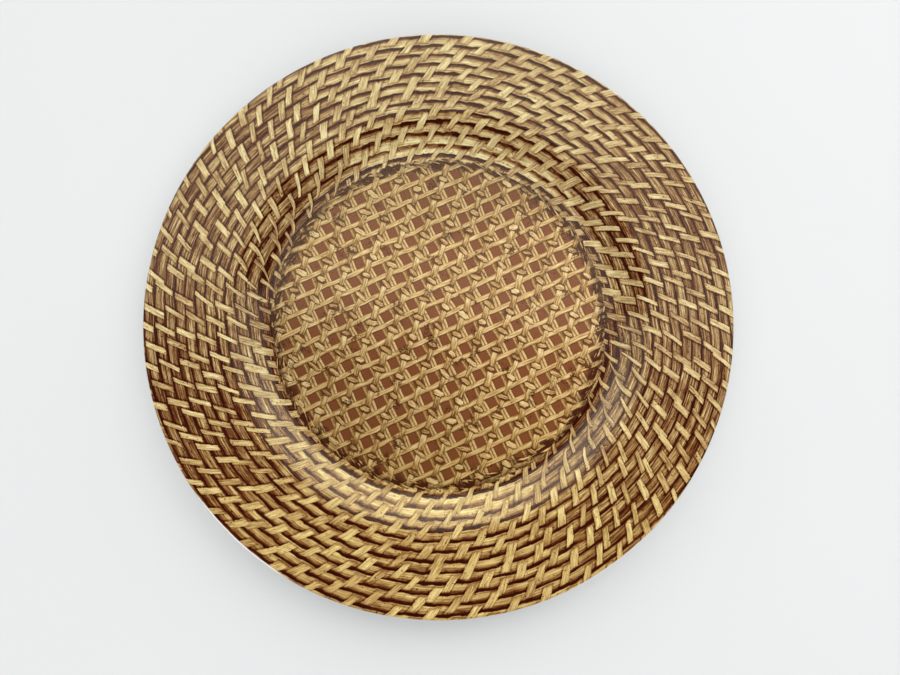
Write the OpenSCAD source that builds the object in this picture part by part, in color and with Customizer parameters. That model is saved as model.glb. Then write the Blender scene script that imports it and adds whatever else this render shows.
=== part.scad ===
// Round charger plate: a moulded body with a printed foil under a clear glaze.
// Millimetres. +Z is up, and the origin is the centre of the plate on the table.

/* [Plate] */
// Outer diameter of the plate
plate_d = 330; // [290:1:360]
// Height from the table to the top of the lip
plate_h = 20; // [17:0.5:24]
// Thickness of the plate, printed foil and glaze included
wall_t = 3; // [2.4:0.1:3.6]

/* [Well] */
// Diameter of the flat floor of the well
floor_d = 200; // [184:1:210]
// Radius of the hollow corner where the floor turns up into the wall
heel_r = 8; // [5:0.5:11]
// Slope of the wall of the well, in degrees
wall_angle = 45; // [38:1:50]

/* [Rim] */
// Slope of the rim, in degrees
rim_angle = 4; // [2:0.5:6]
// Radius of the rounded shoulder between the wall and the rim
shoulder_r = 16; // [8:1:20]
// Radius of the upper edge of the lip
lip_r = 1.6; // [1.2:0.1:1.8]
// Radius of the lower edge of the lip
lip_under_r = 1; // [0.5:0.1:1.2]
// Straight stretch of print below the rounded edge of the lip
lip_print_w = 0.1; // [0.05:0.05:0.2]

/* [Foot ring] */
// Height of the foot ring below the underside of the floor
foot_h = 2.5; // [1.5:0.1:3.5]
// Distance from the edge of the floor in to the middle of the foot ring
foot_inset = 8; // [6:0.5:20]
// Width of the foot ring where it leaves the floor
foot_root_w = 7; // [6:0.1:8]
// Width of the foot ring before its edges are rounded
foot_tip_w = 5; // [4:0.1:5.5]
// Radius of the edges and roots of the foot ring
foot_edge_r = 1; // [0.5:0.1:1.2]

/* [Decor] */
// Thickness of the printed foil
foil_t = 0.15; // [0.1:0.01:0.2]
// Thickness of the clear glaze over the foil
glaze_t = 0.2; // [0.15:0.01:0.3]

/* [Hidden] */
$fn = 180;
// Straight steps in each rounded corner of a profile
arc_steps = 12;
// Turn of each half-ring foil about the plate
half_turn = 180;
// Share of a straight wall that a rounding may take up
fillet_share = 0.95;
// Share of the plate's thickness that the upper edge of the lip may take up
lip_share = 0.6;

body_colour = "#f4f2ec";
well_colour = "#b08a55";
rim_colour = "#b99a62";
glaze_colour = [1, 1, 1, 0.15];

plate_r = plate_d / 2;
floor_r = floor_d / 2;
decor_t = foil_t + glaze_t;
floor_z = foot_h + wall_t;
lip_fit_r = min(lip_r, lip_share * wall_t);

// The floor, wall and rim as straight lines, before their corners are rounded
heel = [floor_r + heel_r * tan(wall_angle / 2), floor_z];
lip = [plate_r, plate_h + lip_fit_r * (tan(rim_angle) + 1 / cos(rim_angle) - 1)];
shoulder_x = (lip.y - heel.y + heel.x * tan(wall_angle) - lip.x * tan(rim_angle))
    / (tan(wall_angle) - tan(rim_angle));
shoulder = [shoulder_x, heel.y + (shoulder_x - heel.x) * tan(wall_angle)];
print_end = [plate_r, plate_h - lip_fit_r - lip_print_w];

// The shoulder's rounding is limited by the wall that is left above the heel
wall_left = norm(shoulder - heel) - heel_r * tan(wall_angle / 2);
shoulder_fit_r = min(shoulder_r, fillet_share * wall_left / tan((wall_angle - rim_angle) / 2));

// Upper face from the axis out to the end of the print: [radius, height, corner radius]
top_path = [
    [0, floor_z, 0],
    [heel.x, heel.y, heel_r],
    [shoulder.x, shoulder.y, shoulder_fit_r],
    [lip.x, lip.y, lip_fit_r],
    [print_end.x, print_end.y, 0]
];

// Underside from the axis out, over the foot ring, to the same end
foot_mid_r = floor_r - foot_inset;
under_wall = inset(top_path, wall_t);
lip_under_z = lip.y - wall_t / cos(rim_angle);
lip_under_fit_r = min(lip_under_r, fillet_share * (print_end.y - lip_under_z));
under_path = [
    [0, foot_h, 0],
    [foot_mid_r - foot_root_w / 2, foot_h, foot_edge_r],
    [foot_mid_r - foot_tip_w / 2, 0, foot_edge_r],
    [foot_mid_r + foot_tip_w / 2, 0, foot_edge_r],
    [foot_mid_r + foot_root_w / 2, foot_h, foot_edge_r],
    under_wall[1],
    under_wall[2],
    [plate_r, lip_under_z, lip_under_fit_r],
    [print_end.x, print_end.y, 0]
];

function unit(v) = v / norm(v);
function left_of(v) = [-v.y, v.x];
function flat(p) = [p.x, p.y];
function reversed(list) = [for (i = [len(list) - 1 : -1 : 0]) list[i]];
function without_first(list) = [for (i = [1 : len(list) - 1]) list[i]];

// Arc of the given radius that rounds the corner a, b, c
function rounded_corner(a, b, c, radius) =
    let (
        back = unit(a - b),
        ahead = unit(c - b),
        half = acos(back * ahead) / 2,
        centre = b + unit(back + ahead) * radius / sin(half),
        from = b + back * radius / tan(half) - centre,
        to = b + ahead * radius / tan(half) - centre,
        start = atan2(from.y, from.x),
        sweep = sign(cross(from, to)) * acos(unit(from) * unit(to))
    )
    [for (i = [0 : arc_steps])
        let (turn = start + sweep * i / arc_steps)
        centre + radius * [cos(turn), sin(turn)]];

// Outline points of a path of [radius, height, corner radius]
function path_points(path) =
    let (last = len(path) - 1)
    [
        flat(path[0]),
        for (i = [1 : last - 1])
            each rounded_corner(flat(path[i - 1]), flat(path[i]), flat(path[i + 1]), path[i].z),
        flat(path[last])
    ];

// The same path moved by a depth into the plate: hollow corners grow and round ones shrink
function inset(path, depth) =
    let (
        last = len(path) - 1,
        ways = [for (i = [0 : last - 1]) unit(flat(path[i + 1]) - flat(path[i]))]
    )
    [for (i = [0 : last])
        let (
            before = left_of(ways[max(i - 1, 0)]),
            after = left_of(ways[min(i, last - 1)]),
            moved = flat(path[i]) - depth * (before + after) / (1 + before * after),
            growth = sign(cross(before, after)) * depth
        )
        [moved.x, moved.y, path[i].z + growth]];

// Closed outline between two depths below the upper face
function layer_outline(upper_depth, lower_depth) =
    concat(
        path_points(inset(top_path, upper_depth)),
        reversed(path_points(inset(top_path, lower_depth)))
    );

// Moulded plate: floor, wall, shoulder, rim, lip and foot ring in one piece
module plate_body() {
    color(body_colour)
        rotate_extrude()
            polygon(concat(
                path_points(inset(top_path, decor_t)),
                reversed(path_points(under_path))
            ));
}

// Printed disc on the floor of the well
module well_decor_foil() {
    color(well_colour)
        translate([0, 0, floor_z - decor_t])
            cylinder(r = floor_r, h = foil_t);
}

// Printed half ring from the edge of the floor over the rim and round the lip
module rim_decor_half() {
    color(rim_colour)
        rotate_extrude(angle = half_turn)
            polygon(concat(
                without_first(path_points(inset(top_path, glaze_t))),
                reversed(without_first(path_points(inset(top_path, decor_t))))
            ));
}

module rim_decor_foil_back() {
    rim_decor_half();
}

module rim_decor_foil_front() {
    rotate([0, 0, half_turn])
        rim_decor_half();
}

// Clear coat over all the print
module clear_glaze() {
    color(glaze_colour)
        rotate_extrude()
            polygon(layer_outline(0, glaze_t));
}

plate_body();
well_decor_foil();
rim_decor_foil_back();
rim_decor_foil_front();
clear_glaze();
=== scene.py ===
"""Looks of a round charger plate: a white moulded plate with a printed foil under a clear glaze."""

import math

import bmesh
import bpy
from mathutils import Matrix, Vector


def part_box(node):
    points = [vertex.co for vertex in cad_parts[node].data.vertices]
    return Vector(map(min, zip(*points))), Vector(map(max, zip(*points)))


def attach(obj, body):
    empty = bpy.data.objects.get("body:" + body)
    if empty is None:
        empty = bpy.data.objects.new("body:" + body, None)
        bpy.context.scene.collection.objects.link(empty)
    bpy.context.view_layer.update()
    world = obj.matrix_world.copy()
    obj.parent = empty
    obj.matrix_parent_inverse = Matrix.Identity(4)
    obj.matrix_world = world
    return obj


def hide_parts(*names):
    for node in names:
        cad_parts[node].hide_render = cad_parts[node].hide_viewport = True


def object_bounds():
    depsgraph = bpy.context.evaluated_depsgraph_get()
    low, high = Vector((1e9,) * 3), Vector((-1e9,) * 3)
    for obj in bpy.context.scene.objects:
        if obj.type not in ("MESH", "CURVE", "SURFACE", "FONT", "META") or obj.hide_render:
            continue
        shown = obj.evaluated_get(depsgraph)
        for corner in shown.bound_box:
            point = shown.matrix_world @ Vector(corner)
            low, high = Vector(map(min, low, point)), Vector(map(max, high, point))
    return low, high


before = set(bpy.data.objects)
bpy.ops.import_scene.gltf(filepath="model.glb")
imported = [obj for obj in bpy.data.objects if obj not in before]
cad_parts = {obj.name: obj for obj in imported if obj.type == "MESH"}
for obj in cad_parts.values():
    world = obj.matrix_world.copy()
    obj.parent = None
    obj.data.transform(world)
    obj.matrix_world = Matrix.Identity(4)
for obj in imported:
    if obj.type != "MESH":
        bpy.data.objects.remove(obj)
cad_low, cad_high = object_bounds()

# Driving sizes, in millimetres, as the part's source has them
MM = 0.001
PLATE_R = cad_high[0] / MM
PLATE_H = cad_high[2] / MM
FLOOR_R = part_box("well_decor_foil")[1][0] / MM
WALL_T = 3.0
HEEL_R = 8.0
WALL_ANGLE = math.radians(45)
RIM_ANGLE = math.radians(4)
SHOULDER_R = 16.0
LIP_R = 1.6
LIP_UNDER_R = 1.0
LIP_PRINT_W = 0.1
FOOT_H = 2.5
FOOT_INSET = 8.0
FOOT_ROOT_W = 7.0
FOOT_TIP_W = 5.0
FOOT_EDGE_R = 1.0
FOIL_T = 0.15
GLAZE_T = 0.2
# The glaze is drawn this much clear of the print, so that the two faces don't coincide
GLAZE_GAP = 0.02
DECOR_T = FOIL_T + GLAZE_T
FLOOR_Z = FOOT_H + WALL_T

# Fineness of the meshes
ARC_STEPS = 20
TURN_STEPS = 360
FULL_TURN = 2 * math.pi
HALF_TURN = math.pi
SHARP_ANGLE = math.radians(35)
TINY = 1e-6


# Profiles: paths of (radius, height, corner radius), as in the part's source

def rounded_corner(a, b, c, radius):
    """Points of the arc that rounds the corner a, b, c."""
    back = (a - b).normalized()
    ahead = (c - b).normalized()
    half = back.angle(ahead) / 2
    centre = b + (back + ahead).normalized() * radius / math.sin(half)
    start = b + back * radius / math.tan(half) - centre
    end = b + ahead * radius / math.tan(half) - centre
    first = math.atan2(start.y, start.x)
    sweep = math.copysign(start.angle(end), start.cross(end))
    turns = [first + sweep * i / ARC_STEPS for i in range(ARC_STEPS + 1)]
    return [centre + radius * Vector((math.cos(t), math.sin(t))) for t in turns]


def path_points(path):
    """Outline points of a path, with its corners rounded."""
    flat = [Vector((p[0], p[1])) for p in path]
    points = [flat[0]]
    for i in range(1, len(path) - 1):
        points += rounded_corner(flat[i - 1], flat[i], flat[i + 1], path[i][2])
    return points + [flat[-1]]


def inset(path, depth):
    """The path moved by a depth into the plate: hollow corners grow and round ones shrink."""
    flat = [Vector((p[0], p[1])) for p in path]
    ways = [(b - a).normalized() for a, b in zip(flat, flat[1:])]
    lefts = [Vector((-way.y, way.x)) for way in ways]
    moved = []
    for i, point in enumerate(flat):
        before = lefts[max(i - 1, 0)]
        after = lefts[min(i, len(lefts) - 1)]
        shifted = point - depth * (before + after) / (1 + before.dot(after))
        bend = before.cross(after)
        growth = 0 if abs(bend) < TINY else math.copysign(depth, bend)
        moved.append((shifted.x, shifted.y, path[i][2] + growth))
    return moved


HEEL = Vector((FLOOR_R + HEEL_R * math.tan(WALL_ANGLE / 2), FLOOR_Z))
LIP = Vector((PLATE_R, PLATE_H + LIP_R * (math.tan(RIM_ANGLE) + 1 / math.cos(RIM_ANGLE) - 1)))
SHOULDER_RISE = LIP.y - HEEL.y + HEEL.x * math.tan(WALL_ANGLE) - LIP.x * math.tan(RIM_ANGLE)
SHOULDER_X = SHOULDER_RISE / (math.tan(WALL_ANGLE) - math.tan(RIM_ANGLE))
SHOULDER = Vector((SHOULDER_X, HEEL.y + (SHOULDER_X - HEEL.x) * math.tan(WALL_ANGLE)))
PRINT_END_Z = PLATE_H - LIP_R - LIP_PRINT_W

TOP_PATH = [
    (0.0, FLOOR_Z, 0.0),
    (HEEL.x, HEEL.y, HEEL_R),
    (SHOULDER.x, SHOULDER.y, SHOULDER_R),
    (LIP.x, LIP.y, LIP_R),
    (PLATE_R, PRINT_END_Z, 0.0),
]


def under_path():
    """The underside, from the axis out over the foot ring to the lip."""
    foot_mid = FLOOR_R - FOOT_INSET
    wall = inset(TOP_PATH, WALL_T)
    return [
        (0.0, FOOT_H, 0.0),
        (foot_mid - FOOT_ROOT_W / 2, FOOT_H, FOOT_EDGE_R),
        (foot_mid - FOOT_TIP_W / 2, 0.0, FOOT_EDGE_R),
        (foot_mid + FOOT_TIP_W / 2, 0.0, FOOT_EDGE_R),
        (foot_mid + FOOT_ROOT_W / 2, FOOT_H, FOOT_EDGE_R),
        wall[1],
        wall[2],
        (PLATE_R, LIP.y - WALL_T / math.cos(RIM_ANGLE), LIP_UNDER_R),
        (PLATE_R, PRINT_END_Z, 0.0),
    ]


def layer(upper_depth, lower_depth):
    """Outline points of the plate's upper face, moved in by each of two depths."""
    return [path_points(inset(TOP_PATH, depth)) for depth in (upper_depth, lower_depth)]


def lathe(name, outline, start=0.0, sweep=FULL_TURN):
    """A closed mesh made by turning an outline of (radius, height) about +Z."""
    whole = sweep > FULL_TURN - TINY
    steps = round(TURN_STEPS * sweep / FULL_TURN)
    columns = steps if whole else steps + 1
    turns = [start + sweep * i / steps for i in range(columns)]
    mesh = bmesh.new()
    rings = []
    for point in outline:
        if point.x < TINY:
            rings.append([mesh.verts.new((0, 0, point.y * MM))] * columns)
            continue
        rings.append([
            mesh.verts.new((point.x * MM * math.cos(t), point.x * MM * math.sin(t), point.y * MM))
            for t in turns
        ])
    for low, high in zip(rings, rings[1:] + rings[:1]):
        for i in range(steps):
            j = (i + 1) % columns
            corners = []
            for vert in (low[i], low[j], high[j], high[i]):
                if vert not in corners:
                    corners.append(vert)
            if len(corners) > 2:
                mesh.faces.new(corners)
    if not whole:
        mesh.faces.new([ring[0] for ring in rings])
        mesh.faces.new([ring[-1] for ring in reversed(rings)])
    bmesh.ops.recalc_face_normals(mesh, faces=mesh.faces)
    data = bpy.data.meshes.new(name)
    mesh.to_mesh(data)
    mesh.free()
    data.shade_smooth()
    data.set_sharp_from_angle(angle=SHARP_ANGLE)
    piece = bpy.data.objects.new(name, data)
    bpy.context.scene.collection.objects.link(piece)
    return piece


def plan_map(piece):
    """A flat map seen from above, so that the print keeps its detail when it is baked."""
    data = piece.data
    points = [v.co for v in data.vertices]
    left, right = min(p.x for p in points), max(p.x for p in points)
    front, back = min(p.y for p in points), max(p.y for p in points)
    places = [((p.x - left) / (right - left), (p.y - front) / (back - front)) for p in points]
    plan = data.uv_layers.new(name="OFBake")
    for loop in data.loops:
        plan.data[loop.index].uv = places[loop.vertex_index]


# Shader fields: numbers over a surface, written as sums and products

# Sockets of a mix node, by their order: its share, its two numbers, its two colours, the mixed colour
MIX_SHARE = 0
MIX_NUMBERS = (2, 3)
MIX_COLOURS = (6, 7)
MIX_COLOUR_OUT = 2


class Field:
    """A number that varies over a surface. Its operators add the nodes that work it out."""

    def __init__(self, tree, socket):
        self.tree = tree
        self.socket = socket

    def __add__(self, other):
        return math_node(self.tree, "ADD", self, other)

    __radd__ = __add__

    def __sub__(self, other):
        return math_node(self.tree, "SUBTRACT", self, other)

    def __rsub__(self, other):
        return math_node(self.tree, "SUBTRACT", other, self)

    def __mul__(self, other):
        return math_node(self.tree, "MULTIPLY", self, other)

    __rmul__ = __mul__

    def __truediv__(self, other):
        return math_node(self.tree, "DIVIDE", self, other)

    def __abs__(self):
        return math_node(self.tree, "ABSOLUTE", self)

    def floor(self):
        return math_node(self.tree, "FLOOR", self)

    def fract(self):
        return math_node(self.tree, "FRACT", self)


def feed(tree, socket, value):
    """Links a field or socket into a node's input, or writes a plain value there."""
    if isinstance(value, Field):
        value = value.socket
    if isinstance(value, bpy.types.NodeSocket):
        tree.links.new(value, socket)
    else:
        socket.default_value = value


def math_node(tree, operation, *values):
    """The field that a named operation makes of its values."""
    node = tree.nodes.new("ShaderNodeMath")
    node.operation = operation
    for socket, value in zip(node.inputs, values):
        feed(tree, socket, value)
    return Field(tree, node.outputs[0])


def largest(a, b):
    """The larger of a field and a second value."""
    return math_node(a.tree, "MAXIMUM", a, b)


def ramp(x, low, high, to_low=0.0, to_high=1.0):
    """A smooth step from to_low, where x is under low, up to to_high, where x is over high."""
    node = x.tree.nodes.new("ShaderNodeMapRange")
    node.interpolation_type = "SMOOTHSTEP"
    for socket, value in zip(node.inputs, (x, low, high, to_low, to_high)):
        feed(x.tree, socket, value)
    return Field(x.tree, node.outputs[0])


def fade(x, low, high, full=1.0):
    """A smooth step from full, where x is under low, down to 0, where x is over high."""
    return ramp(x, low, high, full, 0.0)


def lerp(low, high, share):
    """From low at share 0 to high at share 1."""
    node = share.tree.nodes.new("ShaderNodeMix")
    feed(share.tree, node.inputs[MIX_SHARE], share)
    for index, value in zip(MIX_NUMBERS, (low, high)):
        feed(share.tree, node.inputs[index], value)
    return Field(share.tree, node.outputs[0])


def vector(tree, x, y, z):
    """The socket of a vector with three fields or plain numbers in it."""
    node = tree.nodes.new("ShaderNodeCombineXYZ")
    for socket, value in zip(node.inputs, (x, y, z)):
        feed(tree, socket, value)
    return node.outputs[0]


def noise(tree, x, y, z=0.0, scale=1.0, detail=2.0, roughness=0.5):
    """Smooth noise, about 0 to 1."""
    node = tree.nodes.new("ShaderNodeTexNoise")
    feed(tree, node.inputs["Vector"], vector(tree, x, y, z))
    node.inputs["Scale"].default_value = scale
    node.inputs["Detail"].default_value = detail
    node.inputs["Roughness"].default_value = roughness
    return Field(tree, node.outputs["Fac"])


def wobble(tree, x, y, z=0.0, **settings):
    """Smooth noise about 0, half of it to each side."""
    return noise(tree, x, y, z, **settings) - 0.5


def chance(tree, x, y, z=0.0):
    """Three random numbers, each 0 to 1, for every whole x, y, z."""
    node = tree.nodes.new("ShaderNodeTexWhiteNoise")
    node.noise_dimensions = "3D"
    feed(tree, node.inputs["Vector"], vector(tree, x, y, z))
    split = tree.nodes.new("ShaderNodeSeparateColor")
    tree.links.new(node.outputs["Color"], split.inputs[0])
    return [Field(tree, socket) for socket in split.outputs]


def blend(tree, share, low, high, kind="MIX"):
    """Colour low under colour high, by a share from 0 to 1."""
    node = tree.nodes.new("ShaderNodeMix")
    node.data_type = "RGBA"
    node.blend_type = kind
    feed(tree, node.inputs[MIX_SHARE], share)
    for index, colour in zip(MIX_COLOURS, (low, high)):
        feed(tree, node.inputs[index], colour)
    return node.outputs[MIX_COLOUR_OUT]


def shade(tree, colour, factor):
    """A colour multiplied by a field."""
    node = tree.nodes.new("ShaderNodeVectorMath")
    node.operation = "SCALE"
    feed(tree, node.inputs[0], colour[:3] if isinstance(colour, tuple) else colour)
    feed(tree, node.inputs["Scale"], factor)
    return node.outputs[0]


def linear(red, green, blue):
    """A screen colour, 0 to 255, as the linear RGBA that shaders take, by the usual screen curve."""
    shares = [c / 255 for c in (red, green, blue)]
    return tuple(((s + 0.055) / 1.055) ** 2.4 if s > 0.04 else s / 12.92 for s in shares) + (1.0,)


def tone_colour(tree, tone, stops):
    """A colour from a row of (tone, screen colour) stops. Tone 0 is the darkest and 1 the lightest."""
    node = tree.nodes.new("ShaderNodeValToRGB")
    feed(tree, node.inputs[0], tone)
    elements = node.color_ramp.elements
    while len(elements) < len(stops):
        elements.new(0.5)
    for element, (place, colour) in zip(elements, stops):
        element.position = place
        element.color = linear(*colour)
    return node.outputs[0]


def coordinates(tree, kind):
    """The three fields of a kind of coordinates."""
    place = tree.nodes.new("ShaderNodeTexCoord")
    split = tree.nodes.new("ShaderNodeSeparateXYZ")
    tree.links.new(place.outputs[kind], split.inputs[0])
    return [Field(tree, socket) for socket in split.outputs]


def position(tree):
    """Millimetres to the right (+X), to the back (+Y) and up (+Z) from the plate's middle."""
    return [axis / MM for axis in coordinates(tree, "Object")]


def toward(x, y, way):
    """Millimetres from the plate's middle in a direction."""
    return x * way[0] + y * way[1]


def bumped(tree, height, strength):
    """Normals that follow a height field, faintly."""
    node = tree.nodes.new("ShaderNodeBump")
    node.inputs["Strength"].default_value = strength
    node.inputs["Distance"].default_value = MM
    feed(tree, node.inputs["Height"], height)
    return node.outputs[0]


def new_material(name):
    """An empty material, its node tree and the tree's output."""
    material = bpy.data.materials.new(name)
    material.use_nodes = True
    tree = material.node_tree
    tree.nodes.clear()
    output = tree.nodes.new("ShaderNodeOutputMaterial")
    return material, tree, output


def principled(tree, output, **sockets):
    """A surface shader with values or fields on its named sockets."""
    shader = tree.nodes.new("ShaderNodeBsdfPrincipled")
    for name, value in sockets.items():
        feed(tree, shader.inputs[name.replace("_", " ")], value)
    tree.links.new(shader.outputs[0], output.inputs["Surface"])


# Both prints

FRONT_LEFT = (-0.6, -0.8)
BACK_LEFT = (-0.6, 0.8)
# Painted light tint: the print is made a little warmer toward the front, and a little greener toward
# the back left
PAINTED_WARM_LIGHT = (1.0, 0.95, 0.74, 1.0)
PAINTED_GREEN_LIGHT = (1.0, 1.03, 1.02, 1.0)
# Stretches over which the painted light tint drifts, in millimetres to the back and to the back left
PAINTED_WARM_LIGHT_SPAN = (-130.0, -20.0)
PAINTED_GREEN_LIGHT_SPAN = (-20.0, 90.0)
INK_ROUGHNESS = 0.45


def with_painted_light_tint(tree, colour, x, y):
    """The colour of the print with a painted tint of the light that drifts across the plate."""
    colour = blend(tree, fade(y, *PAINTED_WARM_LIGHT_SPAN), colour, PAINTED_WARM_LIGHT, "MULTIPLY")
    return blend(tree, ramp(toward(x, y, BACK_LEFT), *PAINTED_GREEN_LIGHT_SPAN), colour, PAINTED_GREEN_LIGHT, "MULTIPLY")


def print_shader(tree, output, colour):
    """Matt ink. The gloss is the glaze's."""
    principled(tree, output, Base_Color=colour, Roughness=INK_ROUGHNESS, Specular_IOR_Level=0.0)


# Rim print: rattan rods laid in rings, bound by slanting splints

# Middle of the print, a little off the plate's own
PRINT_MIDDLE = Vector((-1.0, -2.3))
# The print comes back after half a turn, clockwise from this seam
SEAM_TURN = math.radians(-6)
# Radius of the loop through the noise that the fibres follow in a half turn
LOOP_R = 70.0
ROD_PITCH = 5.46
FIRST_ROD_R = 160.7
# Millimetres that the rods bulge outward at the start and at the end of the half turn,
# and the stretches of it over which they do
START_BULGE = 5.6
START_BULGE_SPAN = (0.0, 0.306)
END_BULGE = 2.9
END_BULGE_SPAN = (0.806, 1.056)
# Millimetres that each end of a rod bends to meet the next one at the seam,
# between these distances from the middle of the half turn
SEAM_BEND = 1.54
SEAM_BEND_SPAN = (0.465, 0.5)
# Rows of rods and lanes of splints are counted inward from the lip
SHOULDER_ROW = 7.0
LAST_SHOULDER_ROW = 8
LAST_WHOLE_ROW = 10
# Tones of the rods: brown ones, and pale ones with a lighter crown
BROWN_ROD = 0.50
PALE_ROD = 0.27
PALE_CROWN = 0.47
# Painted shade: the rim's print is darker toward the front left, over a stretch in millimetres
PAINTED_RIM_SHADE = 0.07
PAINTED_RIM_SHADE_SPAN = (30.0, 130.0)
# Painted light and shade on the shoulder: its tone drifts from the first to the second over a stretch
# of the half turn
SHOULDER_PAINTED_LIGHT = (0.03, -0.06)
SHOULDER_PAINTED_LIGHT_SPAN = (0.3, 0.6)
# A dark speck begins where the noise passes the first level, and is full past the second
SPECK_LEVELS = (0.63, 0.71)
SPECK_DEPTH = 0.35
# Splints in a half turn, on the outer lanes and on the inner ones
OUTER_SPLINTS = 23.0
INNER_SPLINTS = 20.0
LAST_OUTER_LANE = 3
SPLINT_SPACING = 18.8
# Shares of the spacing by which each lane lies on from the lane outside it
LANE_STAGGER = 0.53
LANE_SCATTER = 0.14
# Slant of a splint from end to end, in shares of the spacing, and where it grows and shrinks
LEAST_SLANT = 0.29
MOST_SLANT = 0.42
SLANT_GAIN_SPAN = (0.1, 0.4)
END_SLANT_LOSS = 0.12
SLANT_LOSS_SPAN = (0.8, 0.95)
# The innermost splints are hooked between these stretches of the half turn
SPLINT_HOOK = 0.8
HOOK_START_SPAN = (0.0, 0.05)
HOOK_END_SPAN = (0.22, 0.34)
# Lanes between which the splints become innermost ones
INMOST_LANES = (7.5, 8.5)
# Half widths of splints, and what the pale and the boldest ones gain, in millimetres
NARROW_SPLINT = 1.2
WIDE_SPLINT = 1.95
PALE_SPLINT_GAIN = 0.8
BOLD_SPLINT_GAIN = 1.1
# Middle of the bold stretch in the half turn, and the distances from it where it fades
BOLD_SHARE = 0.83
BOLD_SPAN = (0.09, 0.16)
SPLINT_TONE = 0.75
RATTAN_STOPS = [
    (0.0, (54, 9, 2)),
    (0.25, (98, 47, 20)),
    (0.5, (152, 113, 70)),
    (0.78, (213, 188, 133)),
    (1.0, (241, 227, 177)),
]
# The foil stops short of the lip on both sides of the front, and the white plate shows.
# Each place: its turn, how far from it the foil is shortest and whole again, and how short it is
BARE_LIP = [
    (math.radians(-132), 0.12, 0.30, 1.5),
    (math.radians(-55), 0.08, 0.22, 0.9),
]
# Radius past the lip, to which the foil reaches elsewhere
WHOLE_FOIL_R = PLATE_R + 0.2
LIP_WHITE = linear(244, 244, 242)


def inside(row, number):
    """1 on the rows inside a numbered row, 0 on that row and outside it."""
    return ramp(row, number + 0.2, number + 0.8)


def loop_wobble(tree, loop, rate, depth, **settings):
    """Noise about 0 along the rods. Its loop closes after half a turn, so fibres cross the seam."""
    return wobble(tree, loop[0] * rate, loop[1] * rate, depth, **settings)


def splint_set(tree, share, lane, along, pale, fray):
    """One set of splints. Each lies over two rods and slants from its outer end, clockwise, inward.

    share is the place along the half turn, along is 0 at the outer end and 1 at the inner end.
    Gives how far the splints cover a place, how far they shade it, and their tone.
    """
    # Place along the lane, in splints. The innermost ones are hooked near the start of the half turn
    slant = ramp(share, *SLANT_GAIN_SPAN, LEAST_SLANT, MOST_SLANT)
    slant = slant - ramp(share, *SLANT_LOSS_SPAN) * END_SLANT_LOSS
    inmost = ramp(lane, *INMOST_LANES)
    tail = largest(along - 0.4, 0.0)
    hooked = ramp(share, *HOOK_START_SPAN) * fade(share, *HOOK_END_SPAN, SPLINT_HOOK)
    hook = inmost * hooked * tail * tail
    count = lerp(OUTER_SPLINTS, INNER_SPLINTS, inside(lane, LAST_OUTER_LANE))
    scatter = chance(tree, lane, 3.0, 1.0)[0] * LANE_SCATTER
    slid = share * count + lane * LANE_STAGGER + scatter - slant * (0.5 - along) + hook
    cell = slid.floor()
    number = math_node(tree, "FLOORED_MODULO", cell, count)

    # Millimetres from the middle line of the splint and from its edge
    sway, width, tint = chance(tree, number, lane, 7.0)
    bend = (sway - 0.5) * 0.2 + (width - 0.5) * (along - 0.5) * 0.16
    across = (slid - cell - 0.5 - bend) * SPLINT_SPACING + fray * 0.8
    bold = inmost * fade(abs(share - BOLD_SHARE), *BOLD_SPAN, BOLD_SPLINT_GAIN)
    half = lerp(NARROW_SPLINT, WIDE_SPLINT, width) + pale * PALE_SPLINT_GAIN + bold - inmost * tail
    edge = abs(across) - half

    # The ends are crisp on brown rods and soft on pale ones
    start = ramp(along + fray * 0.06, lerp(0.03, 0.10, pale), lerp(0.06, 0.26, pale))
    end = fade(along + fray * 0.08, lerp(0.92, 0.78, pale), lerp(0.97, 0.98, pale))
    cover = fade(edge, -0.2, 0.2) * start * end
    cast = fade(abs(across - 0.35) - half, 0.0, 1.2) * fade(abs(along - 0.5), 0.42, 0.5)

    grain = wobble(tree, across * 1.4 + sway * 50.0, along * 2.0, number * 3.7 + lane * 1.9)
    outline = ramp(edge, -0.6, 0.1) * lerp(0.22, 0.19, pale)
    tone = SPLINT_TONE - ramp(lane, 9.5, 10.5) * 0.12 + (tint - 0.5) * 0.2 + grain - outline
    tone = tone - ramp(abs(along - 0.5), 0.3, 0.48) * 0.1 - fade(along, 0.1, 0.45, 0.12) * pale
    return cover, cast, tone


def rod_rows(tree, share, radius, loop):
    """How pale the rods are, and the place across them in rows, before and after they are frayed."""
    # The rods bulge outward at both ends of the half turn, and meet at the seam
    bulge = fade(share, *START_BULGE_SPAN, START_BULGE) + ramp(share, *END_BULGE_SPAN, 0.0, END_BULGE)
    way = ramp(share, 0.4, 0.6, -1.0, 1.0)
    meet = ramp(abs(share - 0.5), *SEAM_BEND_SPAN, 0.0, SEAM_BEND) * way
    straight = (FIRST_ROD_R + bulge + meet - radius) / ROD_PITCH
    # The middle of the half turn is pale and its ends are brown, with ragged borders
    patch = loop_wobble(tree, loop, 0.025, straight * 0.3)
    facing = math_node(tree, "COSINE", (share - 0.5) * FULL_TURN)
    pale = ramp(facing + patch * 0.8, -0.35, 0.75)
    swayed = straight + loop_wobble(tree, loop, 0.02, straight * 0.6, detail=1.0) * 0.26
    flutter = loop_wobble(tree, loop, 0.16, straight * 1.2)
    return pale, swayed, swayed + flutter * lerp(0.16, 0.44, pale)


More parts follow.
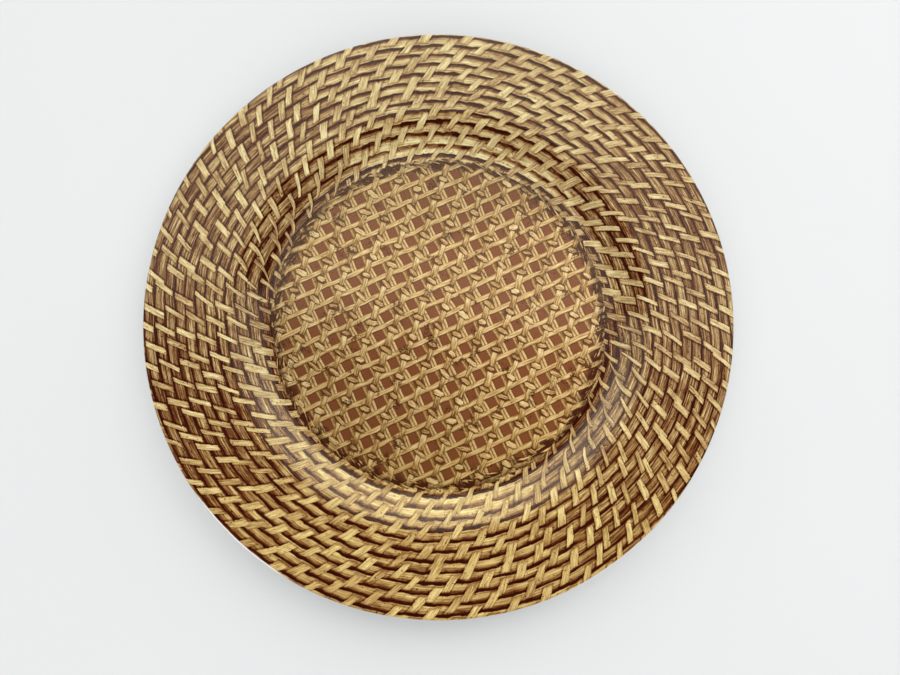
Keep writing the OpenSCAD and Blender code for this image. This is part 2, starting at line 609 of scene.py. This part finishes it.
def rod_tone(tree, x, y, share, loop, pale, swayed, row, down):
    """The tone of the rods and of the gaps between them. down is 0 to 1 inward across a row."""
    fibre = loop_wobble(tree, loop, 0.05, swayed * 8.0 + row * 5.3, detail=3.0, roughness=0.65)
    fine = loop_wobble(tree, loop, 0.25, swayed * 13.0, detail=1.0)
    stripe = fibre * 1.9 + fine * 0.6
    segment = loop_wobble(tree, loop, 0.09, row * 7.7, detail=1.0)
    brown_tone = BROWN_ROD + stripe + segment * 0.45 - ramp(abs(down - 0.56), 0.15, 0.5) * 0.18
    pale_tone = PALE_ROD + stripe * 0.58 + segment * 0.5 + ramp(down, 0.12, 0.68) * PALE_CROWN
    last = inside(row, LAST_WHOLE_ROW)
    # Pale rods inward of the shoulder are lighter: partly painted highlight on the front shoulder
    tone = lerp(brown_tone, pale_tone, pale) + inside(row, LAST_SHOULDER_ROW) * pale * 0.15
    # The last row, at the foot of the wall, is darker: partly painted shade
    tone = tone - last * (0.1 + segment * 0.5)

    # Painted shade: the rim is darker at the front and the left
    tone = tone - ramp(toward(x, y, FRONT_LEFT), *PAINTED_RIM_SHADE_SPAN) * fade(row, 4.5, 6.5, PAINTED_RIM_SHADE)
    # Painted light and shade on the shoulder: it is lighter in the first half of its turn than in the
    # second
    shoulder = fade(abs(row - SHOULDER_ROW), 1.2, 2.2)
    painted_shoulder_light = ramp(share, *SHOULDER_PAINTED_LIGHT_SPAN, *SHOULDER_PAINTED_LIGHT)
    tone = tone + shoulder * painted_shoulder_light * fade(abs(share - 0.5), 0.35, 0.5)

    # Dark gaps, wide along the last row and a little wider on the shoulder's pale rods, both partly
    # painted shade, and nearly closed along the pale rods of the row before
    crease_shade = last * 0.3
    gap_low = lerp(0.04, 0.09, pale) + crease_shade
    gap_high = lerp(0.25, 0.36, pale) + crease_shade + shoulder * pale * 0.08
    gap = largest(fade(down + segment * 0.14, gap_low, gap_high), ramp(down, 0.92, 1.0) * 0.6)
    closed = fade(abs(row - LAST_WHOLE_ROW), 0.2, 0.8, 0.75) * pale
    return tone - gap * (lerp(0.42, 0.30, pale) + segment * 0.5) * (1.0 - closed)


def rattan_colour(tree, x, y):
    """The colour of the rim's print at a place on the plate, and that place's radius and turn."""
    px = x - PRINT_MIDDLE.x
    py = y - PRINT_MIDDLE.y
    radius = math_node(tree, "SQRT", px * px + py * py)
    turn = math_node(tree, "ARCTAN2", py, px)
    share = ((turn - SEAM_TURN) * (-1 / HALF_TURN)).fract()
    loop = [math_node(tree, wave, turn * 2.0) * LOOP_R for wave in ("COSINE", "SINE")]
    pale, swayed, rows = rod_rows(tree, share, radius, loop)
    row = rows.floor()
    down = rows - row
    tone = rod_tone(tree, x, y, share, loop, pale, swayed, row, down)

    # Each row lies under the outer half of one lane of splints and the inner half of another
    fray = wobble(tree, x, y, 0.0, scale=0.8, detail=1.0)
    outer = splint_set(tree, share, row, down * 0.5, pale, fray)
    inner = splint_set(tree, share, row - 1.0, down * 0.5 + 0.5, pale, fray)
    tone = tone - largest(outer[1], inner[1]) * lerp(0.3, 0.24, pale)
    for cover, _, splint_tone in (outer, inner):
        tone = lerp(tone, splint_tone, cover)
    speck = noise(tree, x, y, 7.0, scale=0.75)
    tone = tone - ramp(speck, *SPECK_LEVELS) * SPECK_DEPTH
    return tone_colour(tree, tone, RATTAN_STOPS), radius, turn


def rattan_material():
    """The rim's print, cut off at the edge of its foil."""
    material, tree, output = new_material("rattan_print")
    x, y, _ = position(tree)
    # The rim's print, with its painted tint of the light
    colour = with_painted_light_tint(tree, rattan_colour(tree, x, y)[0], x, y)
    plate_radius = math_node(tree, "SQRT", x * x + y * y)
    plate_turn = math_node(tree, "ARCTAN2", y, x)
    foil_r = WHOLE_FOIL_R
    for turn, shortest, whole, depth in BARE_LIP:
        foil_r = foil_r - fade(abs(plate_turn - turn), shortest, whole, depth)
    colour = blend(tree, ramp(plate_radius - foil_r, -0.1, 0.1), colour, LIP_WHITE)
    print_shader(tree, output, colour)
    return material


# Well print: cane webbing over a brown ground

# The two steps of the webbing's lattice and the middle of one of its holes, in millimetres
CANE_A = Vector((11.35, -4.50))
CANE_B = Vector((-3.62, -11.23))
CANE_HOLE = Vector((-21.05, 34.23))
# Millimetres that the webbing strays from its lattice, from one side to the other,
# and how often it does, for each millimetre
CANE_WAVE = 3.4
CANE_WAVE_SCALE = 0.055
# The webbing gives way to the rim's print about this radius, and its edge strays by so much
CANE_EDGE_R = 96.3
CANE_RAGGED = 9.0
# Tones of the strands, before their fibres
FALL_TONE = 0.48
RISE_TONE = 0.78
STEM_TONE = 0.68
PILLOW_TONE = 0.74
STRAY_TONE = 0.55
# Noise above this makes a stray fibre
STRAY_LEVEL = 0.59
# A stain on a rising strand, and a spoilt spot of the webbing, begin where the noise passes
# the first level, and are full past the second
STAIN_LEVELS = (0.57, 0.66)
SPOILT_LEVELS = (0.56, 0.64)
# Painted light and shade on the webbing toward the front left and the back, over stretches in
# millimetres
CANE_PAINTED_FRONT_LEFT_LIGHT = (1.12, 0.77)
CANE_PAINTED_FRONT_LEFT_LIGHT_SPAN = (-40.0, 110.0)
CANE_PAINTED_BACK_SHADE = (1.0, 0.85)
CANE_PAINTED_BACK_SHADE_SPAN = (35.0, 75.0)
CANE_GROUND = linear(128, 75, 44)
CANE_SHADOW = linear(66, 29, 13)
CANE_STOPS = [
    (0.0, (44, 12, 2)),
    (0.25, (92, 52, 22)),
    (0.5, (152, 110, 58)),
    (0.78, (206, 172, 113)),
    (1.0, (233, 208, 157)),
]


def under_strip(tree, colour, edge, reach, depth):
    """The brown shadow beside a strip, deepest where its edge distance is 0 and gone at reach."""
    return blend(tree, fade(edge, 0.0, reach, depth), colour, CANE_SHADOW)


def cane_strip(tree, colour, edge, tone, soft=0.02):
    """A strip of cane laid over a colour, where its edge distance is under 0."""
    return blend(tree, fade(edge, -soft, soft), colour, tone_colour(tree, tone, CANE_STOPS))


def cane_lattice(tree, x, y):
    """The place in the webbing, in steps of its lattice. Both are whole in the middle of a hole."""
    px = x - CANE_HOLE.x + wobble(tree, x, y, 3.0, scale=CANE_WAVE_SCALE) * CANE_WAVE
    py = y - CANE_HOLE.y + wobble(tree, x, y, 9.0, scale=CANE_WAVE_SCALE) * CANE_WAVE
    area = CANE_A.cross(CANE_B)
    p = (px * CANE_B.y - py * CANE_B.x) / area
    q = (py * CANE_A.x - px * CANE_A.y) / area
    return p, q


def fall_strands(tree, colour, p, q, fray):
    """Falling strands, lowest: two pale lines on one side of each hole, a brown strip on the other."""
    side = (p - q).fract() - 0.5
    lit = ramp(p.fract(), 0.45, 0.55)
    pair = fade(abs(abs(side) - 0.115), 0.05, 0.08)
    lone = fade(abs(side + 0.04), 0.02, 0.06)
    tone = lerp(FALL_TONE + lone * 0.22, FALL_TONE + pair * 0.36, lit) + fray * 0.6
    edge = abs(side) + fray * 0.06 - lerp(0.15, 0.20, lit)
    colour = under_strip(tree, colour, edge, 0.08, 0.5)
    return cane_strip(tree, colour, edge, tone)


def rise_strands(tree, colour, p, q, fray, stain):
    """Rising strands, unbroken from edge to edge."""
    fall = p - q
    rise = p + q
    cell = rise.floor()
    side = rise - cell - 0.5
    half = 0.145 + wobble(tree, fall * 0.7, cell * 3.3, 5.0, detail=1.0) * 0.08
    colour = under_strip(tree, colour, abs(side - 0.03) - half, 0.07, 0.62)
    edge = abs(side) + fray * 0.04 - half
    line = wobble(tree, fall * 1.1, rise * 11.0, 0.0, detail=3.0)
    tone = RISE_TONE + line * 1.3 - ramp(edge, -0.06, 0.0) * 0.16
    return cane_strip(tree, colour, edge, tone - ramp(stain, *STAIN_LEVELS) * 0.45)


def stems(tree, colour, p, q, fray):
    """Short upright stems that cross over the rising strands."""
    cell = p.floor()
    row = (q + 0.5).floor()
    along = q - row
    shift, wide, tint = chance(tree, cell, row, 2.0)
    across = p.fract() - 0.5 - (shift - 0.5) * 0.08 - along * (wide - 0.5) * 0.16
    end = abs(along) - lerp(0.29, 0.37, tint)
    edge = largest(abs(across) + fray * 0.03 - lerp(0.09, 0.14, wide), end)
    colour = under_strip(tree, colour, edge, 0.05, 0.55)
    line = wobble(tree, across * 24.0 + shift * 20.0, along * 3.0, cell * 2.3 + row)
    tone = STEM_TONE + (tint - 0.5) * 0.2 + line * 1.4 - ramp(edge, -0.04, 0.0) * 0.16
    return cane_strip(tree, colour, edge, tone - along * 0.55)


def pillow_outline(height, point):
    """Under 1 inside a pillow, which is level above and below and pointed at both ends."""
    return largest(height, point + height * 0.42)


def pillows(tree, colour, p, q, fray):
    """Pillows: the short stretches of the level strands that show at each knot."""
    cell = p.floor()
    row = q.floor()
    shift, wide, tint = chance(tree, cell, row, 6.0)
    across = p.fract() - 0.5 - (shift - 0.5) * 0.1
    down = q.fract() - 0.5 - (wide - 0.5) * 0.08 - across * lerp(-0.15, 0.45, shift) + fray * 0.07
    depth = lerp(0.08, 0.13, tint)
    point = abs(across + down * 0.3) / lerp(0.20, 0.33, wide)
    outline = pillow_outline(abs(down) / depth, point)
    under = pillow_outline(abs(down - 0.045) / depth, point)
    colour = under_strip(tree, colour, under - 0.95, 0.3, 0.7)
    line = wobble(tree, across * 4.0, down * 22.0 + shift * 30.0, cell + row * 2.7)
    tone = PILLOW_TONE + (tint - 0.5) * 0.3 + line * 1.3 - ramp(outline, 0.7, 1.0) * 0.12
    return cane_strip(tree, colour, outline - 1.0, tone - down * 0.5, soft=0.06)


def cane_material():
    """The well's print, with the innermost rods of the rim's print round it."""
    material, tree, output = new_material("cane_print")
    x, y, _ = position(tree)
    p, q = cane_lattice(tree, x, y)
    rattan, radius, turn = rattan_colour(tree, x, y)
    past_edge = radius - CANE_EDGE_R
    ragged = past_edge + wobble(tree, x, y, 4.0, scale=0.2, detail=4.0, roughness=0.6) * CANE_RAGGED
    fray = wobble(tree, x, y, 0.0, scale=1.1)
    stain = noise(tree, x, y, 21.0, scale=0.09, detail=4.0, roughness=0.7)

    # Strands over a brown ground, with shadow under the upper ones round the edge and at each knot
    colour = shade(tree, CANE_GROUND, 1.0 + fray * 0.25)
    colour = fall_strands(tree, colour, p, q, fray)
    colour = blend(tree, ramp(ragged, -7.5, -3.0, 0.0, 0.95), colour, CANE_SHADOW)
    knot_far = largest(abs(p.fract() - 0.5), abs(q.fract() - 0.5))
    colour = under_strip(tree, colour, knot_far - 0.18, 0.14, 0.35)
    colour = rise_strands(tree, colour, p, q, fray, stain)
    colour = stems(tree, colour, p, q, fray)
    colour = pillows(tree, colour, p, q, fray)

    # Frayed dark spots
    spoilt = ramp(stain, *SPOILT_LEVELS) * ramp(fray, -0.04, 0.02)
    colour = blend(tree, spoilt * 0.8, colour, CANE_SHADOW)

    # Painted light and shade: the webbing is darker at the front left and at the back
    painted_front_left_light = ramp(toward(x, y, FRONT_LEFT), *CANE_PAINTED_FRONT_LEFT_LIGHT_SPAN, *CANE_PAINTED_FRONT_LEFT_LIGHT)
    colour = shade(tree, colour, painted_front_left_light * ramp(y, *CANE_PAINTED_BACK_SHADE_SPAN, *CANE_PAINTED_BACK_SHADE))

    # The webbing ends ragged, with stray fibres, under the innermost rods of the rim, darkening toward
    # its edge in a shadow that is partly printed and partly painted shade at the foot of the wall
    colour = blend(tree, ramp(ragged, -4.5, -0.5, 0.0, 0.8), colour, CANE_SHADOW)
    arc = turn * CANE_EDGE_R
    stray = noise(tree, arc * 0.08 + radius * 0.2, arc * 0.2 - radius * 0.75, 8.0)
    stray_edge = STRAY_LEVEL - stray + fade(past_edge, -8.0, -4.0, 0.3)
    stray_tone = STRAY_TONE + (stray - STRAY_LEVEL) * 2.5 + fray * 0.5
    colour = cane_strip(tree, colour, stray_edge, stray_tone)
    colour = blend(tree, ramp(ragged, -0.3, 0.3), colour, rattan)
    # The webbing, with its painted tint of the light
    print_shader(tree, output, with_painted_light_tint(tree, colour, x, y))
    return material


# Glaze, body and table

GLAZE_TINT = (0.92, 0.89, 0.72, 1.0)
GLAZE_IOR = 1.66
GLAZE_ROUGHNESS = 0.07
GLAZE_RIPPLE = 0.05
BODY_WHITE = linear(240, 239, 234)
BODY_ROUGHNESS = 0.16
BODY_RIPPLE = 0.04
# Height of the scuffs on the foot ring, in millimetres
SCUFF_H = 0.35
TABLE_GREY = linear(225, 226, 227)


def glaze_material():
    """Clear gloss: a see-through skin that reflects more, the flatter it is looked at."""
    material, tree, output = new_material("clear_glaze")
    x, y, _ = position(tree)
    ripple = noise(tree, x, y, 0.0, scale=0.05, detail=1.0)
    smear = noise(tree, x, y, 5.0, scale=0.03, detail=3.0)
    gloss = tree.nodes.new("ShaderNodeBsdfGlossy")
    gloss.inputs["Color"].default_value = GLAZE_TINT
    feed(tree, gloss.inputs["Roughness"], GLAZE_ROUGHNESS + smear * 0.06)
    feed(tree, gloss.inputs["Normal"], bumped(tree, ripple, GLAZE_RIPPLE))
    clear = tree.nodes.new("ShaderNodeBsdfTransparent")
    fresnel = tree.nodes.new("ShaderNodeFresnel")
    fresnel.inputs["IOR"].default_value = GLAZE_IOR
    side = tree.nodes.new("ShaderNodeNewGeometry")
    front = 1.0 - Field(tree, side.outputs["Backfacing"])
    mix = tree.nodes.new("ShaderNodeMixShader")
    feed(tree, mix.inputs[0], Field(tree, fresnel.outputs[0]) * front)
    tree.links.new(clear.outputs[0], mix.inputs[1])
    tree.links.new(gloss.outputs[0], mix.inputs[2])
    tree.links.new(mix.outputs[0], output.inputs["Surface"])
    return material


def melamine_material():
    """White moulded melamine, with faint flecks and a scuffed foot ring."""
    material, tree, output = new_material("white_melamine")
    x, y, z = position(tree)
    cloud = noise(tree, x, y, z, scale=0.02, detail=3.0)
    fleck = noise(tree, x, y, z, scale=1.3)
    tone = 0.97 + (cloud - 0.5) * 0.05 - ramp(fleck, 0.66, 0.74) * 0.05
    scuff = fade(z, 0.0, SCUFF_H) * ramp(noise(tree, x, y, 0.0, scale=0.5, detail=4.0), 0.42, 0.6)
    colour = shade(tree, BODY_WHITE, tone - scuff * 0.12)
    roughness = BODY_ROUGHNESS + cloud * 0.08 + scuff * 0.4
    normal = bumped(tree, noise(tree, x, y, z, scale=0.08), BODY_RIPPLE)
    principled(tree, output, Base_Color=colour, Roughness=roughness, Normal=normal)
    return material


def table_material():
    """Pale table top, with faint clouds."""
    material, tree, output = new_material("pale_table")
    x, y, _ = position(tree)
    cloud = wobble(tree, x, y, 0.0, scale=0.004)
    colour = shade(tree, TABLE_GREY, 0.98 + cloud * 0.03)
    principled(tree, output, Base_Color=colour, Roughness=0.7, Specular_IOR_Level=0.2)
    return material


# Pieces

def make_piece(name, outline, material, node, start=0.0, sweep=FULL_TURN, plan=True):
    """A turned piece that stands for a solid of the part. plan gives it the flat map for baking."""
    piece = lathe(name, outline, start, sweep)
    piece.data.materials.append(material)
    if plan:
        plan_map(piece)
    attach(piece, "root")
    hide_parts(node)


def build_plate():
    """The body, the two prints and the glaze, as layers of one profile."""
    foil_top, foil_under = layer(GLAZE_T, DECOR_T)
    body = foil_under + path_points(under_path())[::-1]
    make_piece("plate", body, melamine_material(), "plate_body", plan=False)

    disc = [
        Vector((0, FLOOR_Z - GLAZE_T)),
        Vector((FLOOR_R, FLOOR_Z - GLAZE_T)),
        Vector((FLOOR_R, FLOOR_Z - DECOR_T)),
        Vector((0, FLOOR_Z - DECOR_T)),
    ]
    make_piece("cane_print", disc, cane_material(), "well_decor_foil")

    ring = foil_top[1:] + foil_under[:0:-1]
    rattan = rattan_material()
    for name, start in (("back", 0.0), ("front", HALF_TURN)):
        node = "rim_decor_foil_" + name
        make_piece("rattan_print_" + name, ring, rattan, node, start, HALF_TURN)

    glaze_top, glaze_under = layer(0.0, GLAZE_T - GLAZE_GAP)
    glaze = glaze_top + glaze_under[::-1]
    make_piece("glaze", glaze, glaze_material(), "clear_glaze")


# Table, light and camera, in metres

TABLE_HALF_W = 8.0
TABLE_CELLS = 4
FILL_STRENGTH = 2.25
FILL_PLACE = Vector((-0.1, -1.7, 1.6))
FILL_ANGLE = math.radians(90)
SIDE_STRENGTH = 1.3
SIDE_PLACE = Vector((0.6, 0.35, 0.8))
SIDE_SIZE = 0.6
# Strengths of the room's light: in front, behind, more where the window is, and round the horizon
ROOM_FRONT = 0.05
ROOM_BACK = 0.76
ROOM_WINDOW = 0.95
ROOM_HORIZON = 0.4
ROOM_WHITE = (1.0, 1.0, 0.99, 1.0)
# Where they come in behind, and fade above the horizon, from 0 at the side or level
# to 1 straight back or straight up
BACK_SPAN = (0.08, 0.18)
WINDOW_SPAN = (0.3, 0.55)
HORIZON_SPAN = (0.1, 0.4)
# The bright side reaches a little further forward at the right
BACK_SKEW = 0.15
PHOTO_WIDTH = 900
FOCAL_PIXELS = 675
SENSOR = 36.0
CAMERA_TILT = math.radians(6.014)
CAMERA_TURN = math.radians(-12.97)
CAMERA_DISTANCE = 0.39486
CAMERA_TARGET = Vector((0.00525, -0.01105, 0.0))
CAMERA_CLIP = 0.01


def add_table():
    """The table top that the plate stands on."""
    mesh = bmesh.new()
    bmesh.ops.create_grid(mesh, x_segments=TABLE_CELLS, y_segments=TABLE_CELLS, size=TABLE_HALF_W)
    data = bpy.data.meshes.new("table")
    mesh.to_mesh(data)
    mesh.free()
    table = bpy.data.objects.new("table", data)
    bpy.context.scene.collection.objects.link(table)
    table.data.materials.append(table_material())


def add_lamp(name, kind, strength, place):
    """A lamp that points at the plate's middle and stays out of the gloss."""
    lamp = bpy.data.lights.new(name, kind)
    lamp.energy = strength
    thing = bpy.data.objects.new(name, lamp)
    bpy.context.scene.collection.objects.link(thing)
    thing.location = place
    thing.rotation_euler = (-place).to_track_quat("-Z", "Y").to_euler()
    thing.visible_glossy = False
    return lamp


def add_lights():
    """A broad light from the front and a weaker one from the right."""
    fill = add_lamp("fill", "SUN", FILL_STRENGTH, FILL_PLACE)
    fill.angle = FILL_ANGLE
    side = add_lamp("side", "AREA", SIDE_STRENGTH, SIDE_PLACE)
    side.size = SIDE_SIZE


def add_room():
    """A room that is bright behind the plate, and dim above and in front of it down to its horizon."""
    world = bpy.data.worlds.new("room")
    bpy.context.scene.world = world
    world.use_nodes = True
    tree = world.node_tree
    tree.nodes.clear()
    right, back, height = coordinates(tree, "Generated")
    skewed = back + largest(right, 0.0) * BACK_SKEW
    bright = ramp(skewed, *BACK_SPAN, ROOM_FRONT, ROOM_BACK) + ramp(back, *WINDOW_SPAN) * ROOM_WINDOW
    strength = largest(bright, fade(height, *HORIZON_SPAN, ROOM_HORIZON))
    background = tree.nodes.new("ShaderNodeBackground")
    background.inputs["Color"].default_value = ROOM_WHITE
    feed(tree, background.inputs["Strength"], strength)
    output = tree.nodes.new("ShaderNodeOutputWorld")
    tree.links.new(background.outputs[0], output.inputs["Surface"])


def add_camera():
    """The photograph's camera. The top of its picture is toward +Y."""
    data = bpy.data.cameras.new("camera")
    data.sensor_width = SENSOR
    data.lens = FOCAL_PIXELS * SENSOR / PHOTO_WIDTH
    data.clip_start = CAMERA_CLIP
    camera = bpy.data.objects.new("camera", data)
    bpy.context.scene.collection.objects.link(camera)
    back = Vector((
        math.sin(CAMERA_TURN) * math.sin(CAMERA_TILT),
        -math.cos(CAMERA_TURN) * math.sin(CAMERA_TILT),
        math.cos(CAMERA_TILT),
    ))
    right = Vector((0, 1, 0)).cross(back).normalized()
    axes = Matrix((right, back.cross(right), back)).transposed()
    place = CAMERA_TARGET + back * CAMERA_DISTANCE
    camera.matrix_world = Matrix.Translation(place) @ axes.to_4x4()
    bpy.context.scene.camera = camera


build_plate()
add_table()
add_lights()
add_room()
add_camera()
bpy.context.scene.view_settings.view_transform = "Standard"
